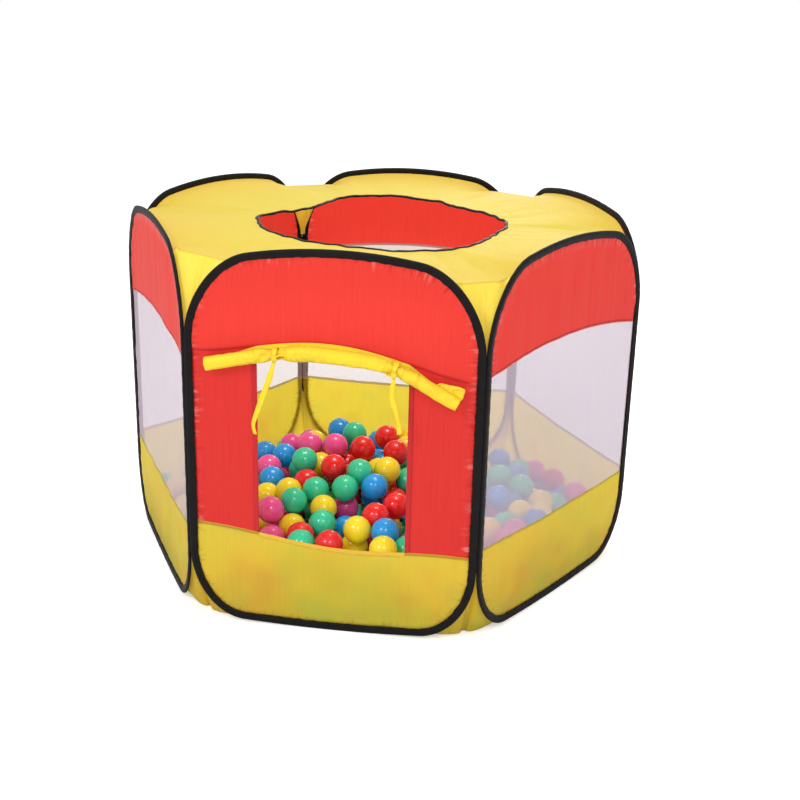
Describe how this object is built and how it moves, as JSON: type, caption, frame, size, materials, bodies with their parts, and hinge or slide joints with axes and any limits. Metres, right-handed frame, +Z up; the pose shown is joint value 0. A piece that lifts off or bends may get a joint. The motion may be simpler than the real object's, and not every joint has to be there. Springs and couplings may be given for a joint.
{
  "type": "ball pit tent",
  "caption": "Hexagonal pop-up ball pit tent with red, yellow and mesh walls in black sleeves, an open yellow roof, a rolled door flap and a heap of coloured balls.",
  "frame": {"origin": "middle of the floor's underside", "axes": "+Z up, the door wall faces -Y, and two corners of the hexagon lie on the X axis"},
  "size_m": [1.2016, 1.0873, 0.81],
  "materials": {
    "red_nylon": "light sheen",
    "yellow_nylon": "light sheen",
    "flap_nylon": "light sheen",
    "white_mesh": "matte, see-through",
    "black_tape": "matte",
    "spring_steel": "satin",
    "ferrule_steel": "satin",
    "ball_red": "gloss",
    "ball_yellow": "gloss",
    "ball_blue": "gloss",
    "ball_green": "gloss",
    "ball_pink": "gloss"
  },
  "bodies": {
    "tent": {"sleeve_front": "black_tape", "sleeve_front_right": "black_tape", "sleeve_back_right": "black_tape", "sleeve_back": "black_tape", "sleeve_back_left": "black_tape", "sleeve_front_left": "black_tape", "spring_wire_front": "spring_steel", "spring_wire_front_right": "spring_steel", "spring_wire_back_right": "spring_steel", "spring_wire_back": "spring_steel", "spring_wire_back_left": "spring_steel", "spring_wire_front_left": "spring_steel", "ferrule_front": "ferrule_steel", "ferrule_front_right": "ferrule_steel", "ferrule_back_right": "ferrule_steel", "ferrule_back": "ferrule_steel", "ferrule_back_left": "ferrule_steel", "ferrule_front_left": "ferrule_steel", "door_upper_band": "red_nylon", "door_strip_left": "red_nylon", "door_strip_right": "red_nylon", "door_lower_band": "yellow_nylon", "upper_band_front_right": "red_nylon", "upper_band_back_right": "red_nylon", "upper_band_back": "red_nylon", "upper_band_back_left": "red_nylon", "upper_band_front_left": "red_nylon", "mesh_window_front_right": "white_mesh", "mesh_window_back_right": "white_mesh", "mesh_window_back": "white_mesh", "mesh_window_back_left": "white_mesh", "mesh_window_front_left": "white_mesh", "lower_band_front_right": "yellow_nylon", "lower_band_back_right": "yellow_nylon", "lower_band_back": "yellow_nylon", "lower_band_back_left": "yellow_nylon", "lower_band_front_left": "yellow_nylon", "roof": "yellow_nylon", "roof_opening_binding": "black_tape", "floor": "yellow_nylon", "door_flap_sheet": "flap_nylon", "ball_heap": "ball_yellow"},
    "door_flap": {"door_flap_roll": "flap_nylon", "tie_left": "flap_nylon", "tie_right": "flap_nylon", "tie_left_tail": "flap_nylon", "tie_right_tail": "flap_nylon"},
    "loose_ball_blue_1": {"ball_blue_1": "ball_blue"},
    "loose_ball_green_1": {"ball_green_1": "ball_green"},
    "loose_ball_green_2": {"ball_green_2": "ball_green"},
    "loose_ball_green_3": {"ball_green_3": "ball_green"},
    "loose_ball_pink_1": {"ball_pink_1": "ball_pink"},
    "loose_ball_pink_2": {"ball_pink_2": "ball_pink"},
    "loose_ball_red_1": {"ball_red_1": "ball_red"},
    "loose_ball_red_2": {"ball_red_2": "ball_red"},
    "loose_ball_red_3": {"ball_red_3": "ball_red"},
    "loose_ball_red_4": {"ball_red_4": "ball_red"},
    "loose_ball_yellow_1": {"ball_yellow_1": "ball_yellow"},
    "loose_ball_yellow_2": {"ball_yellow_2": "ball_yellow"}
  },
  "joints": [
    {"name": "door_flap_unroll", "type": "slide", "parent": "tent", "child": "door_flap", "axis": [0, 0, -1], "range_m": [0, 0.43], "deforming": ["door_flap_sheet"]},
    {"name": "lift_ball_blue_1", "type": "slide", "parent": "tent", "child": "loose_ball_blue_1", "axis": [0, 0, 1], "range_m": [0, 0.65]},
    {"name": "lift_ball_green_1", "type": "slide", "parent": "tent", "child": "loose_ball_green_1", "axis": [0, 0, 1], "range_m": [0, 0.65]},
    {"name": "lift_ball_green_2", "type": "slide", "parent": "tent", "child": "loose_ball_green_2", "axis": [0, 0, 1], "range_m": [0, 0.65]},
    {"name": "lift_ball_green_3", "type": "slide", "parent": "tent", "child": "loose_ball_green_3", "axis": [0, 0, 1], "range_m": [0, 0.65]},
    {"name": "lift_ball_pink_1", "type": "slide", "parent": "tent", "child": "loose_ball_pink_1", "axis": [0, 0, 1], "range_m": [0, 0.65]},
    {"name": "lift_ball_pink_2", "type": "slide", "parent": "tent", "child": "loose_ball_pink_2", "axis": [0, 0, 1], "range_m": [0, 0.65]},
    {"name": "lift_ball_red_1", "type": "slide", "parent": "tent", "child": "loose_ball_red_1", "axis": [0, 0, 1], "range_m": [0, 0.65]},
    {"name": "lift_ball_red_2", "type": "slide", "parent": "tent", "child": "loose_ball_red_2", "axis": [0, 0, 1], "range_m": [0, 0.65]},
    {"name": "lift_ball_red_3", "type": "slide", "parent": "tent", "child": "loose_ball_red_3", "axis": [0, 0, 1], "range_m": [0, 0.65]},
    {"name": "lift_ball_red_4", "type": "slide", "parent": "tent", "child": "loose_ball_red_4", "axis": [0, 0, 1], "range_m": [0, 0.65]},
    {"name": "lift_ball_yellow_1", "type": "slide", "parent": "tent", "child": "loose_ball_yellow_1", "axis": [0, 0, 1], "range_m": [0, 0.65]},
    {"name": "lift_ball_yellow_2", "type": "slide", "parent": "tent", "child": "loose_ball_yellow_2", "axis": [0, 0, 1], "range_m": [0, 0.65]}
  ]
}
